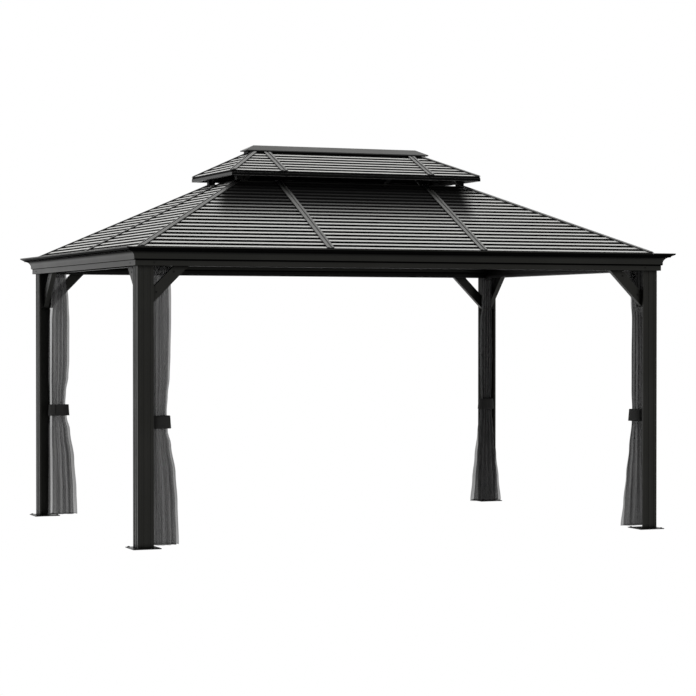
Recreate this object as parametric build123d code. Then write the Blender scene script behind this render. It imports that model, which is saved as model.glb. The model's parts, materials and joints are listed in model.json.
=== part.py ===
from build123d import *
import math
import os

os.makedirs("parts", exist_ok=True)

# Open metal gazebo with a two-tier hip roof. Sizes in millimetres.
# The origin is on the ground under the middle of the roof.
# The long sides run along X and the front side faces -Y.

# Posts and their feet
post_span_x = 4033.0
post_span_y = 2882.0
post_size = 115.0
flute_depth = 3.0
flute_width = 24.0
clear_height = 1932.0
plate_overhang = 42.0
plate_thickness = 6.0
anchor_hole_radius = 6.0
anchor_edge = 17.5

# Gutter beams with their crown moulding
fascia_outset = 22.0
lower_band = 38.0
upper_band = 22.0
band_step = 10.0
cove_outset = 43.0
cove_top = 98.0
ledge_outset = 54.0
lip_outset = 80.0
lip_height = 9.0
lip_rise = 14.0
gutter_height = 127.0
trough_floor = 66.0
sheet_wall = 3.0
web_front = 20.0
web_back = 75.0

# Corner braces
brace_width = 74.0
brace_depth = 38.0
brace_leg = 261.0

# Lower roof
eave_inset = 17.0
eave_rise = 134.0
roof_slope = 0.5
vent_half_y = 354.5
rib_pitch = 53.5
rib_share = 0.47
rib_ramp = 5.0
rib_depth = 11.0
panel_depth = 16.0
panel_gap = 6.0
rafter_from_hip = 118.0

# Bars under the panels and covers over their joints
bar_width = 40.0
bar_depth = 46.0
cover_width = 52.0
cover_height = 9.0
groove_width = 18.0
groove_depth = 5.0

# Vent between the two roofs
rail_width = 28.0
vent_post_size = 50.0
bracket_leg = 62.0
bracket_heel = 22.0
bracket_depth = 12.0

# Upper roof, set over the vent
upper_reach_x = 83.0
upper_reach_y = 125.5
upper_lift = 71.0
upper_slope = 0.426
upper_hip_run = 298.0
upper_top_half = 100.0
upper_bar_depth = 30.0
trim_width = 28.0
trim_depth = 22.0

# Ridge cap on its curb
curb_overhang_x = 20.0
curb_inset_y = 52.0
curb_height = 16.0
cap_overhang_x = 22.0
cap_overhang_y = 20.0
cap_hip_run = 83.0
cap_lip = 8.0
cap_height = 48.0

# Curtains and their tracks
track_size = 20.0
curtain_folds = 12
curtain_clearance = 1.5
front_bundle_offset = 14.0
front_waist_offset = 42.0
back_waist_offset = 25.0
curtain_floor_gap = 10.0
curtain_head_radius = 25.0
curtain_chest_radius = 58.0
curtain_chest_height = 1540.0
curtain_waist_radius = 62.0
curtain_hem_depth = 59.0
hem_extra_width_left = 38.0
hem_offset_left = 31.0
hem_extra_width_right = 90.0
tie_height = 850.0
tie_band = 88.0
tie_thickness = 5.0
cloth_clearance = 0.3

# How far cutting shapes run past the piece they cut
cut_margin = 200.0

half_x = post_span_x / 2
half_y = post_span_y / 2
eave_x = half_x - eave_inset
eave_y = half_y - eave_inset
eave_z = clear_height + eave_rise
lower_run = eave_y - vent_half_y
vent_half_x = eave_x - lower_run
vent_z = eave_z + roof_slope * lower_run
inner_x = half_x - web_back
inner_y = half_y - web_back
upper_eave_x = vent_half_x + upper_reach_x
upper_eave_y = vent_half_y + upper_reach_y
upper_eave_z = vent_z + upper_lift
upper_top_x = upper_eave_x - upper_hip_run
upper_top_z = upper_eave_z + upper_slope * (upper_eave_y - upper_top_half)
mid_rafter_x = upper_top_x - rafter_from_hip
curb_half_x = upper_top_x + curb_overhang_x
curb_half_y = upper_top_half - curb_inset_y
cap_half_x = curb_half_x + cap_overhang_x
cap_half_y = curb_half_y + cap_overhang_y
cap_ridge_x = cap_half_x - cap_hip_run


def long_bar(points, half_length):
    # outline in (y, z) drawn out along X to both sides
    face = make_face(Polyline(*[(0, y, z) for y, z in points], close=True))
    return extrude(face, amount=half_length, dir=(1, 0, 0), both=True)


def short_bar(points, half_length):
    # outline in (x, z) drawn out along Y to both sides
    face = make_face(Polyline(*[(x, 0, z) for x, z in points], close=True))
    return extrude(face, amount=half_length, dir=(0, 1, 0), both=True)


def plan_prism(points, low, high):
    face = make_face(Polyline(*[(x, y, low) for x, y in points], close=True))
    return extrude(face, amount=high - low, dir=(0, 0, 1))


def block(x0, x1, y0, y1, z0, z1):
    return Pos((x0 + x1) / 2, (y0 + y1) / 2, (z0 + z1) / 2) * Box(x1 - x0, y1 - y0, z1 - z0)


def over_x(shape):
    return mirror(shape, about=Plane.YZ)


def over_y(shape):
    return mirror(shape, about=Plane.XZ)


def solids_of(*shapes):
    found = []
    for shape in shapes:
        found += list(shape.solids())
    return found


def corners(shape):
    # the same piece at all four corners
    pair = solids_of(shape, over_x(shape))
    return pair + [s for p in pair for s in over_y(p).solids()]


def save(name, pieces):
    found = pieces if isinstance(pieces, list) else solids_of(pieces)
    shape = found[0] if len(found) == 1 else Compound(children=found)
    export_step(shape, f"parts/{name}.step")


def strip(x0, y0, x1, y1, width, low, high):
    # upright slab of the given width on the plan line between two points
    length = ((x1 - x0) ** 2 + (y1 - y0) ** 2) ** 0.5
    nx = -(y1 - y0) / length * width / 2
    ny = (x1 - x0) / length * width / 2
    points = [(x0 + nx, y0 + ny), (x1 + nx, y1 + ny), (x1 - nx, y1 - ny), (x0 - nx, y0 - ny)]
    return plan_prism(points, low, high)


class HipRoof:
    # one tier of the roof, given by its eave and the rectangle where it ends

    def __init__(self, eave_x, eave_y, eave_z, top_x, top_y, top_z):
        self.eave_x, self.eave_y, self.eave_z = eave_x, eave_y, eave_z
        self.top_x, self.top_y, self.top_z = top_x, top_y, top_z
        self.run_x = eave_x - top_x
        self.run_y = eave_y - top_y
        self.slope_x = (top_z - eave_z) / self.run_x
        self.slope_y = (top_z - eave_z) / self.run_y
        self.low = eave_z - cut_margin
        self.high = top_z + cut_margin

    def ribs(self, run, slope):
        # one slope's section: trapezoid ribs above a flat underside
        count = max(1, round(run / rib_pitch))
        pitch = run / count
        crest = pitch * rib_share
        points = [(0, -panel_depth)]
        for i in range(count):
            start = i * pitch
            points.append((start, -rib_depth))
            points.append((start + rib_ramp, 0))
            points.append((start + crest, 0))
            points.append((start + crest + rib_ramp, -rib_depth))
        points.append((run, -rib_depth))
        points.append((run, -panel_depth))
        return [(s, self.eave_z + slope * s + d) for s, d in points]

    def hip_cut(self):
        # gap between two panels along the front left hip
        reach = 1.2
        x1 = -self.eave_x + self.run_x * reach
        y1 = -self.eave_y + self.run_y * reach
        x0 = -self.eave_x - self.run_x * (reach - 1)
        y0 = -self.eave_y - self.run_y * (reach - 1)
        return strip(x0, y0, x1, y1, panel_gap, self.low, self.high)

    def front(self, joints):
        section = [(-self.eave_y + s, z) for s, z in self.ribs(self.run_y, self.slope_y)]
        sheet = long_bar(section, self.eave_x)
        plan = [(-self.eave_x, -self.eave_y), (self.eave_x, -self.eave_y),
                (self.top_x, -self.top_y), (-self.top_x, -self.top_y)]
        sheet = sheet & plan_prism(plan, self.low, self.high)
        sheet = sheet - self.hip_cut() - over_x(self.hip_cut())
        for x in joints:
            sheet = sheet - block(x - panel_gap / 2, x + panel_gap / 2,
                                  -self.eave_y - cut_margin, 0, self.low, self.high)
        return solids_of(sheet)

    def side(self, joints):
        section = [(-self.eave_x + s, z) for s, z in self.ribs(self.run_x, self.slope_x)]
        sheet = short_bar(section, self.eave_y)
        plan = [(-self.eave_x, -self.eave_y), (-self.top_x, -self.top_y),
                (-self.top_x, self.top_y), (-self.eave_x, self.eave_y)]
        sheet = sheet & plan_prism(plan, self.low, self.high)
        sheet = sheet - self.hip_cut() - over_y(self.hip_cut())
        for y in joints:
            sheet = sheet - block(-self.eave_x - cut_margin, 0,
                                  y - panel_gap / 2, y + panel_gap / 2, self.low, self.high)
        return solids_of(sheet)

    def below(self, offset):
        # everything under the front and left slopes, moved up or down by the offset
        far = cut_margin
        deep = self.low - cut_margin
        y0 = -self.eave_y - far
        y1 = -self.top_y + far
        z0 = self.eave_z - far * self.slope_y + offset
        z1 = self.top_z + far * self.slope_y + offset
        front = long_bar([(y0, deep), (y0, z0), (y1, z1), (y1, deep)], self.eave_x + far)
        x0 = -self.eave_x - far
        x1 = -self.top_x + far
        z0 = self.eave_z - far * self.slope_x + offset
        z1 = self.top_z + far * self.slope_x + offset
        left = short_bar([(x0, deep), (x0, z0), (x1, z1), (x1, deep)], self.eave_y + far)
        return front & left

    def hip_layer(self, width, bottom, top):
        # bar or cover that follows the front left hip
        reach = 1.1
        x1 = -self.eave_x + self.run_x * reach
        y1 = -self.eave_y + self.run_y * reach
        x0 = -self.eave_x - self.run_x * (reach - 1)
        y0 = -self.eave_y - self.run_y * (reach - 1)
        band = strip(x0, y0, x1, y1, width, self.low, self.high)
        return (band & self.below(top)) - self.below(bottom)

    def front_layer(self, x, width, bottom, top):
        # bar or cover that runs up the front slope
        points = []
        for s, offset in ((0, bottom), (0, top), (self.run_y, top), (self.run_y, bottom)):
            points.append((-self.eave_y + s, self.eave_z + self.slope_y * s + offset))
        return Pos(x, 0, 0) * long_bar(points, width / 2)

    def side_layer(self, y, width, bottom, top):
        points = []
        for s, offset in ((0, bottom), (0, top), (self.run_x, top), (self.run_x, bottom)):
            points.append((-self.eave_x + s, self.eave_z + self.slope_x * s + offset))
        return Pos(0, y, 0) * short_bar(points, width / 2)

    def inside(self, outer_x, outer_y):
        # plan room between two upright rectangles, for trimming bars
        outer = block(-outer_x, outer_x, -outer_y, outer_y, self.low, self.high)
        inner = block(-self.top_x, self.top_x, -self.top_y, self.top_y, self.low, self.high)
        return outer - inner


lower = HipRoof(eave_x, eave_y, eave_z, vent_half_x, vent_half_y, vent_z)
upper = HipRoof(upper_eave_x, upper_eave_y, upper_eave_z, upper_top_x, upper_top_half, upper_top_z)


def post():
    # front left post with two shallow flutes on every face
    x0, y0 = -half_x, -half_y
    shaft = block(x0, x0 + post_size, y0, y0 + post_size, plate_thickness, clear_height)
    centre = Pos(x0 + post_size / 2, y0 + post_size / 2, 0)
    height = clear_height - plate_thickness
    middle = plate_thickness + height / 2
    for turn in (0, 90, 180, 270):
        for side in (-1, 1):
            groove = Pos(side * post_size / 5, -post_size / 2, middle) * Box(flute_width, 2 * flute_depth, height)
            shaft = shaft - centre * Rot(0, 0, turn) * groove
    return shaft


def foot_plate():
    x0 = -half_x - plate_overhang
    y0 = -half_y - plate_overhang
    size = post_size + 2 * plate_overhang
    plate = block(x0, x0 + size, y0, y0 + size, 0, plate_thickness)
    for x in (x0 + anchor_edge, x0 + size - anchor_edge):
        for y in (y0 + anchor_edge, y0 + size - anchor_edge):
            plate = plate - Pos(x, y, plate_thickness / 2) * Cylinder(anchor_hole_radius, 2 * plate_thickness)
    return plate


def gutter_face():
    # outward distance from the post face against height over the beam's underside
    f = fascia_outset
    wall = sheet_wall
    band_face = f + band_step
    band_top = lower_band + upper_band
    cove_end = f + cove_outset
    ledge = f + ledge_outset
    lip = f + lip_outset
    lip_low = gutter_height - lip_height
    slant_low = lip_low - lip_rise
    middle = (band_face + 0.35 * (cove_end - band_face), band_top + 0.65 * (cove_top - band_top))
    top_front = eave_rise - panel_depth + roof_slope * (web_front - eave_inset)
    top_back = eave_rise - panel_depth + roof_slope * (web_back - eave_inset)
    bands = Polyline((f, 0), (f, lower_band), (band_face, lower_band + wall), (band_face, band_top))
    cove = ThreePointArc((band_face, band_top), middle, (cove_end, cove_top))
    crown = Polyline((cove_end, cove_top), (ledge, cove_top), (ledge, slant_low), (lip, lip_low),
                     (lip, gutter_height), (lip - wall, gutter_height), (lip - wall, lip_low + wall),
                     (ledge - wall, slant_low + wall), (ledge - wall, cove_top + wall),
                     (cove_end - wall, cove_top + wall))
    trough = ThreePointArc((cove_end - wall, cove_top + wall), (middle[0] - wall, middle[1] + wall),
                           (band_face - wall, trough_floor + wall))
    web = Polyline((band_face - wall, trough_floor + wall), (-web_front, trough_floor + wall),
                   (-web_front, top_front), (-web_back, top_back), (-web_back, 0), (f, 0))
    return make_face([bands, cove, crown, trough, web])


def gutter_void():
    # the hollow of the beam behind its bands
    wall = sheet_wall
    f = fascia_outset
    high = eave_rise - panel_depth - 2 * wall
    return make_face(Polyline((f - wall, wall), (f - wall, lower_band + wall),
                              (f + band_step - wall, lower_band + 2 * wall),
                              (f + band_step - wall, trough_floor - wall), (-web_front - wall, trough_floor - wall),
                              (-web_front - wall, high), (-web_back + wall, high),
                              (-web_back + wall, wall), close=True))


def mitred(bar, x_side):
    # cut a beam's ends on the corner mitres
    far = half_x + half_y
    wedge = [(-half_x + half_y, 0), (-half_x - far, -half_y - far), (half_x + far, -half_y - far),
             (half_x - half_y, 0)]
    if x_side:
        wedge = [(-half_x + half_y, 0), (-half_x - far, -half_y - far), (-half_x - far, half_y + far)]
    return bar & plan_prism(wedge, clear_height - cut_margin, eave_z + cut_margin)


def gutter(plane, reach, x_side):
    bar = extrude(plane * gutter_face(), amount=reach, both=True)
    bar = bar - extrude(plane * gutter_void(), amount=reach, both=True)
    return mitred(bar, x_side)


def front_gutter():
    plane = Plane(origin=(0, -half_y, clear_height), x_dir=(0, -1, 0), z_dir=(-1, 0, 0))
    return gutter(plane, half_x + fascia_outset + lip_outset, False)


def left_gutter():
    plane = Plane(origin=(-half_x, 0, clear_height), x_dir=(-1, 0, 0), z_dir=(0, 1, 0))
    return gutter(plane, half_y + fascia_outset + lip_outset, True)


def brace_outline(inner_face):
    # from the post's side face up to the beam's underside
    short = brace_leg - brace_width * 2 ** 0.5
    return [(inner_face, clear_height - short), (inner_face, clear_height - brace_leg),
            (inner_face + brace_leg, clear_height), (inner_face + short, clear_height)]


def front_brace():
    outline = brace_outline(-half_x + post_size)
    middle = -half_y + post_size / 2
    return Pos(0, middle, 0) * short_bar(outline, brace_depth / 2)


def left_brace():
    outline = brace_outline(-half_y + post_size)
    middle = -half_x + post_size / 2
    return Pos(middle, 0, 0) * long_bar(outline, brace_depth / 2)


def hip_cover(roof, outer_x, outer_y):
    cover = roof.hip_layer(cover_width, 0, cover_height)
    groove = roof.hip_layer(groove_width, cover_height - groove_depth, cover_height + 20)
    return (cover - groove) & roof.inside(outer_x, outer_y)


def front_cover(roof, x):
    cover = roof.front_layer(x, cover_width, 0, cover_height)
    return cover - roof.front_layer(x, groove_width, cover_height - groove_depth, cover_height + 20)


def side_cover(roof, y):
    cover = roof.side_layer(y, cover_width, 0, cover_height)
    return cover - roof.side_layer(y, groove_width, cover_height - groove_depth, cover_height + 20)


def vent_rail_long():
    low = vent_z - panel_depth - bar_depth
    return block(-vent_half_x, vent_half_x, -vent_half_y, -vent_half_y + rail_width,
                 low, vent_z)


def vent_rail_short():
    low = vent_z - panel_depth - bar_depth
    return block(-vent_half_x, -vent_half_x + rail_width, -vent_half_y + rail_width,
                 vent_half_y - rail_width, low, vent_z)


def vent_post_column():
    return (-vent_half_x, -vent_half_x + vent_post_size, -vent_half_y, -vent_half_y + vent_post_size)


def vent_post():
    column = block(*vent_post_column(), vent_z, upper_top_z)
    return column & upper.below(-panel_depth)


def upper_bar_cut():
    # room that the vent posts take out of the hip bars
    return block(*vent_post_column(), upper.low, upper.high)


def under_bars():
    return upper.below(-panel_depth - upper_bar_depth)


def vent_bracket_long():
    # knee bracket from a vent post up to the sheet, in line with the long side
    x0 = -vent_half_x + vent_post_size
    top = upper_top_z
    middle = -vent_half_y + vent_post_size / 2
    heel = vent_z + bracket_heel
    outline = [(x0, heel), (x0, top), (x0 + bracket_leg, top), (x0 + bracket_leg, heel + bracket_leg)]
    return Pos(0, middle, 0) * short_bar(outline, bracket_depth / 2) & under_bars()


def vent_bracket_short():
    y0 = -vent_half_y + vent_post_size
    top = upper_top_z
    middle = -vent_half_x + vent_post_size / 2
    heel = vent_z + bracket_heel
    outline = [(y0, heel), (y0, top), (y0 + bracket_leg, top), (y0 + bracket_leg, heel + bracket_leg)]
    return Pos(middle, 0, 0) * long_bar(outline, bracket_depth / 2) & under_bars()


def trim_section(slope):
    top = -panel_depth
    return [(0, top - trim_depth), (0, top), (trim_width, top + slope * trim_width),
            (trim_width, top - trim_depth)]


def front_trim():
    section = [(-upper_eave_y + s, upper_eave_z + d) for s, d in trim_section(upper.slope_y)]
    bar = long_bar(section, upper_eave_x)
    far = 2 * trim_width
    plan = [(-upper_eave_x - far, -upper_eave_y - far), (upper_eave_x + far, -upper_eave_y - far),
            (upper_eave_x - far, -upper_eave_y + far), (-upper_eave_x + far, -upper_eave_y + far)]
    return bar & plan_prism(plan, upper.low, upper.high)


def left_trim():
    section = [(-upper_eave_x + s, upper_eave_z + d) for s, d in trim_section(min(upper.slope_x, upper.slope_y))]
    bar = short_bar(section, upper_eave_y)
    far = 2 * trim_width
    plan = [(-upper_eave_x - far, -upper_eave_y - far), (-upper_eave_x + far, -upper_eave_y + far),
            (-upper_eave_x + far, upper_eave_y - far), (-upper_eave_x - far, upper_eave_y + far)]
    return bar & plan_prism(plan, upper.low, upper.high)


def ridge_curb():
    plate = block(-upper_top_x, upper_top_x, -upper_top_half, upper_top_half,
                  upper_top_z - panel_depth - upper_bar_depth, upper_top_z)
    step = block(-curb_half_x, curb_half_x, -curb_half_y, curb_half_y,
                 upper_top_z, upper_top_z + curb_height)
    return plate + step


def ridge_cap():
    base = upper_top_z + curb_height
    lip = block(-cap_half_x, cap_half_x, -cap_half_y, cap_half_y, base, base + cap_lip)
    gable = long_bar([(-cap_half_y, base + cap_lip), (0, base + cap_height), (cap_half_y, base + cap_lip)],
                     cap_half_x)
    ends = short_bar([(-cap_half_x, base + cap_lip), (-cap_ridge_x, base + cap_height),
                      (cap_ridge_x, base + cap_height), (cap_half_x, base + cap_lip)], cap_half_y)
    return lip + (gable & ends)


def ring_face(x, y, z, reach_x, reach_y):
    turns = [2 * math.pi * i / curtain_folds for i in range(curtain_folds)]
    outline = Polyline([(reach_x * math.cos(a), reach_y * math.sin(a)) for a in turns], close=True)
    return Pos(x, y, z) * make_face(outline)


def curtain(head, waist, hem_offset, hem_extra_width):
    # gathered netting: straight from the track past the brace, drawn in at the tie
    shoulder = clear_height - brace_leg - curtain_clearance
    tie_low = tie_height - tie_band / 2
    tie_high = tie_height + tie_band / 2
    hem = (waist[0] + hem_offset, waist[1])
    hem_width = curtain_hem_depth + hem_extra_width
    head_levels = [(head, clear_height - cloth_clearance, curtain_head_radius),
                   (head, shoulder, curtain_head_radius)]
    waist_levels = [(waist, curtain_chest_height, curtain_chest_radius),
                    (waist, tie_high, curtain_waist_radius), (waist, tie_low, curtain_waist_radius)]
    rings = [ring_face(x, y, z, r, r) for (x, y), z, r in head_levels + waist_levels]
    rings.append(ring_face(hem[0], hem[1], curtain_floor_gap, hem_width, curtain_hem_depth))
    return loft(rings, ruled=True)


def tie_back(waist):
    low = tie_height - tie_band / 2
    outer = curtain_waist_radius + tie_thickness
    ring = ring_face(0, 0, 0, outer, outer) - ring_face(0, 0, 0, curtain_waist_radius, curtain_waist_radius)
    return Pos(waist[0], waist[1], low) * extrude(ring, amount=tie_band)


def track_long():
    return block(-inner_x + track_size, inner_x - track_size, -inner_y, -inner_y + track_size,
                 clear_height, clear_height + track_size)


def track_short():
    return block(-inner_x, -inner_x + track_size, -inner_y, inner_y,
                 clear_height, clear_height + track_size)


def save_bundle(corner, head, waist, hem_offset, hem_extra_width):
    save(f"curtain_{corner}", curtain(head, waist, hem_offset, hem_extra_width))
    straps.append(tie_back(waist))


save("foot_plates", corners(foot_plate()))
save("post_front_left", post())
save("post_front_right", over_x(post()))
save("post_back_left", over_y(post()))
save("post_back_right", over_y(over_x(post())))

save("gutter_front", front_gutter())
save("gutter_back", over_y(front_gutter()))
save("gutter_left", left_gutter())
save("gutter_right", over_x(left_gutter()))

front_braces = solids_of(front_brace(), over_x(front_brace()))
left_braces = solids_of(left_brace(), over_y(left_brace()))
save("braces_front", front_braces)
save("braces_back", [over_y(b) for b in front_braces])
save("braces_left", left_braces)
save("braces_right", [over_x(b) for b in left_braces])

front_panels = lower.front([-mid_rafter_x, mid_rafter_x])
left_panels = lower.side([0])
save("roof_front", front_panels)
save("roof_back", [over_y(p) for p in front_panels])
save("roof_left", left_panels)
save("roof_right", [over_x(p) for p in left_panels])

bar_top = -panel_depth
bar_low = -panel_depth - bar_depth
room = lower.inside(inner_x, inner_y)
save("hip_bars", corners(lower.hip_layer(bar_width, bar_low, bar_top) & room))
front_bar = lower.front_layer(-mid_rafter_x, bar_width, bar_low, bar_top) & room
side_bar = lower.side_layer(0, bar_width, bar_low, bar_top) & room
save("rafter_bars", corners(front_bar) + solids_of(side_bar, over_x(side_bar)))

save("hip_covers", corners(hip_cover(lower, eave_x, eave_y)))
front_strip = front_cover(lower, -mid_rafter_x)
side_strip = side_cover(lower, 0)
save("rafter_covers", corners(front_strip) + solids_of(side_strip, over_x(side_strip)))

save("vent_rails_long", solids_of(vent_rail_long(), over_y(vent_rail_long())))
save("vent_rails_short", solids_of(vent_rail_short(), over_x(vent_rail_short())))
save("vent_posts", corners(vent_post()))
save("vent_brackets", corners(vent_bracket_long()) + corners(vent_bracket_short()))

upper_front_panels = upper.front([-mid_rafter_x, mid_rafter_x])
upper_left_panels = upper.side([0])
save("upper_roof_front", upper_front_panels)
save("upper_roof_back", [over_y(p) for p in upper_front_panels])
save("upper_roof_left", upper_left_panels)
save("upper_roof_right", [over_x(p) for p in upper_left_panels])

upper_low = -panel_depth - upper_bar_depth
upper_room = upper.inside(upper_eave_x - trim_width, upper_eave_y - trim_width)
upper_hip = (upper.hip_layer(bar_width, upper_low, bar_top) & upper_room) - upper_bar_cut()
save("upper_hip_bars", corners(upper_hip))
save("upper_rafter_bars", corners(upper.front_layer(-mid_rafter_x, bar_width, upper_low, bar_top) & upper_room))
save("upper_hip_covers", corners(hip_cover(upper, upper_eave_x, upper_eave_y)))
save("upper_rafter_covers", corners(front_cover(upper, -mid_rafter_x)))
save("eave_trims_long", solids_of(front_trim(), over_y(front_trim())))
save("eave_trims_short", solids_of(left_trim(), over_x(left_trim())))
save("ridge_curb", ridge_curb())
save("ridge_cap", ridge_cap())

save("curtain_tracks_long", solids_of(track_long(), over_y(track_long())))
save("curtain_tracks_short", solids_of(track_short(), over_x(track_short())))
behind_brace = post_size / 2 + brace_depth / 2 + curtain_head_radius + curtain_clearance
beside_post = post_size + curtain_waist_radius + tie_thickness + curtain_clearance
front_y = -half_y + behind_brace
side_y = half_y - beside_post
left_x = -half_x + beside_post
right_x = half_x - behind_brace
straps = []
near_left = (left_x + front_bundle_offset, front_y)
save_bundle("front_left", near_left, near_left, hem_offset_left, hem_extra_width_left)
save_bundle("back_left", (left_x, -front_y), (left_x, -front_y), hem_offset_left, hem_extra_width_left)
save_bundle("front_right", (right_x, -side_y), (right_x + front_waist_offset, -side_y), 0, hem_extra_width_right)
save_bundle("back_right", (right_x, side_y), (right_x - back_waist_offset, side_y), 0, hem_extra_width_right)
save("curtain_ties", solids_of(*straps))
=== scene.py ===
import json
import math

import bmesh
import bpy
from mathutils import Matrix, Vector, noise


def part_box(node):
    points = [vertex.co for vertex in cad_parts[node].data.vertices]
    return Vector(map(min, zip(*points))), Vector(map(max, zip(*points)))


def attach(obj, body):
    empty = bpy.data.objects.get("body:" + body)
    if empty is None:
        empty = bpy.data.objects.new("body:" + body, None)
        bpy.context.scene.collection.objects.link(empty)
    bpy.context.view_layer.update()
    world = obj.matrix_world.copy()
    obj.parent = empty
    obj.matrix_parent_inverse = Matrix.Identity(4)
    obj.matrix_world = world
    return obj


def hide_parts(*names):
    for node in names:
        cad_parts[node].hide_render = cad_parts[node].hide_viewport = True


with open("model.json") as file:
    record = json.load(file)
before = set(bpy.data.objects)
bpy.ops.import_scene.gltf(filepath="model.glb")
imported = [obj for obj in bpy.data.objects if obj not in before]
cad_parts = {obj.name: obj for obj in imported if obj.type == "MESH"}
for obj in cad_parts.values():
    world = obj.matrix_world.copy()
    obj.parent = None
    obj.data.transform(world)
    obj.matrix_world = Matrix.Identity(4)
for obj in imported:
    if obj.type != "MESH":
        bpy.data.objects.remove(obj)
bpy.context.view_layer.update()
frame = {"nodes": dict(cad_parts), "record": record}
nodes = frame["nodes"]
print("frame loaded", len(nodes), "nodes")


# helpers for meshes and shader nodes; a value fed to a socket is a number, a colour or another socket

def meshObject(name, bm):
    mesh = bpy.data.meshes.new(name)
    bm.to_mesh(mesh)
    bm.free()
    ob = bpy.data.objects.new(name, mesh)
    bpy.context.scene.collection.objects.link(ob)
    return ob


def grey(value):
    return (value, value, value, 1)


def feed(tree, socket, value):
    if isinstance(value, bpy.types.NodeSocket):
        tree.links.new(value, socket)
    else:
        socket.default_value = value


def maths(tree, kind, *values):
    node = tree.nodes.new("ShaderNodeMath")
    node.operation = kind
    for socket, value in zip(node.inputs, values):
        feed(tree, socket, value)
    return node.outputs[0]


def vectorMaths(tree, kind, a, b):
    node = tree.nodes.new("ShaderNodeVectorMath")
    node.operation = kind
    feed(tree, node.inputs[0], a)
    feed(tree, node.inputs[1], b)
    return node.outputs["Value" if kind == "DOT_PRODUCT" else "Vector"]


def splitVector(tree, vector):
    node = tree.nodes.new("ShaderNodeSeparateXYZ")
    feed(tree, node.inputs[0], vector)
    return node.outputs


def mapRange(tree, value, start, end, low=0.0, high=1.0, smooth=False):
    node = tree.nodes.new("ShaderNodeMapRange")
    if smooth:
        node.interpolation_type = "SMOOTHSTEP"
    for socket, given in (("Value", value), ("From Min", start), ("From Max", end),
                          ("To Min", low), ("To Max", high)):
        feed(tree, node.inputs[socket], given)
    return node.outputs["Result"]


def mixColour(tree, factor, a, b):
    node = tree.nodes.new("ShaderNodeMix")
    node.data_type = "RGBA"
    feed(tree, node.inputs["Factor"], factor)
    feed(tree, node.inputs[6], a)
    feed(tree, node.inputs[7], b)
    return node.outputs[2]


def noiseAt(tree, place, scale, detail=2.0):
    node = tree.nodes.new("ShaderNodeTexNoise")
    feed(tree, node.inputs["Vector"], place)
    feed(tree, node.inputs["Scale"], scale)
    node.inputs["Detail"].default_value = detail
    return node.outputs["Fac"]


def bumpNormal(tree, height, strength, distance):
    node = tree.nodes.new("ShaderNodeBump")
    node.inputs["Strength"].default_value = strength
    node.inputs["Distance"].default_value = distance
    feed(tree, node.inputs["Height"], height)
    return node.outputs["Normal"]


def edgeTurn(tree, reach, samples, normal):
    # 1 on flat metal, less the more the surface turns within reach
    bevel = tree.nodes.new("ShaderNodeBevel")
    bevel.samples = samples
    feed(tree, bevel.inputs["Radius"], reach)
    return vectorMaths(tree, "DOT_PRODUCT", bevel.outputs["Normal"], normal)


def clothUv(tree):
    cloth = tree.nodes.new("ShaderNodeUVMap")
    cloth.uv_map = "cloth"
    return cloth.outputs[0]


# camera and light

viewSet = {
    "place": (-6.205, -15.70, 1.538),
    "yaw": 0.3821,                  # radians to the right of +Y
    "pitch": -0.0113,
    "lens": 112.6,
    "sensor": 36.0,
    "reach": 200.0,
}

lightSet = {
    "sky": 1.0,                     # how bright the white surroundings are to the eye
    "skyOnObject": 0.5,
    "key": 2.0,
    "keyFrom": (-0.62, -0.18, 0.76),
    "keySize": math.radians(8),
    "floorColour": (0.9, 0.9, 0.9, 1.0),
    "floorRadius": 60.0,
    "floorDrop": 0.001,
}


def makeCamera(s):
    camData = bpy.data.cameras.new("camera")
    cam = bpy.data.objects.new("camera", camData)
    bpy.context.scene.collection.objects.link(cam)
    cam.location = s["place"]
    look = Vector((math.sin(s["yaw"]) * math.cos(s["pitch"]),
                   math.cos(s["yaw"]) * math.cos(s["pitch"]), math.sin(s["pitch"])))
    cam.rotation_mode = "QUATERNION"
    cam.rotation_quaternion = look.to_track_quat("-Z", "Y")
    camData.lens = s["lens"]
    camData.sensor_width = s["sensor"]
    camData.clip_end = s["reach"]
    bpy.context.scene.camera = cam
    bpy.context.scene.view_settings.view_transform = "Standard"


def seenAndLit(tree, out, lit, seen):
    # camera, transmitted and glossy rays meet one shader, the light that falls on the object is the other's
    path = tree.nodes.new("ShaderNodeLightPath")
    rays = maths(tree, "MAXIMUM", path.outputs["Is Camera Ray"], path.outputs["Is Transmission Ray"])
    mix = tree.nodes.new("ShaderNodeMixShader")
    feed(tree, mix.inputs[0], maths(tree, "MAXIMUM", rays, path.outputs["Is Glossy Ray"]))
    feed(tree, mix.inputs[1], lit)
    feed(tree, mix.inputs[2], seen)
    feed(tree, out.inputs["Surface"], mix.outputs[0])


def makeWorld(s):
    world = bpy.data.worlds.new("studio")
    bpy.context.scene.world = world
    world.use_nodes = True
    tree = world.node_tree
    tree.nodes.clear()
    skies = []
    for strength in (s["skyOnObject"], s["sky"]):
        sky = tree.nodes.new("ShaderNodeBackground")
        sky.inputs["Color"].default_value = grey(1)
        sky.inputs["Strength"].default_value = strength
        skies.append(sky.outputs[0])
    seenAndLit(tree, tree.nodes.new("ShaderNodeOutputWorld"), *skies)


def makeLights(s):
    lamp = bpy.data.lights.new("key", "SUN")
    lamp.energy = s["key"]
    lamp.angle = s["keySize"]
    ob = bpy.data.objects.new("key", lamp)
    ob.rotation_mode = "QUATERNION"
    ob.rotation_quaternion = Vector(s["keyFrom"]).to_track_quat("Z", "Y")
    bpy.context.scene.collection.objects.link(ob)


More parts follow.
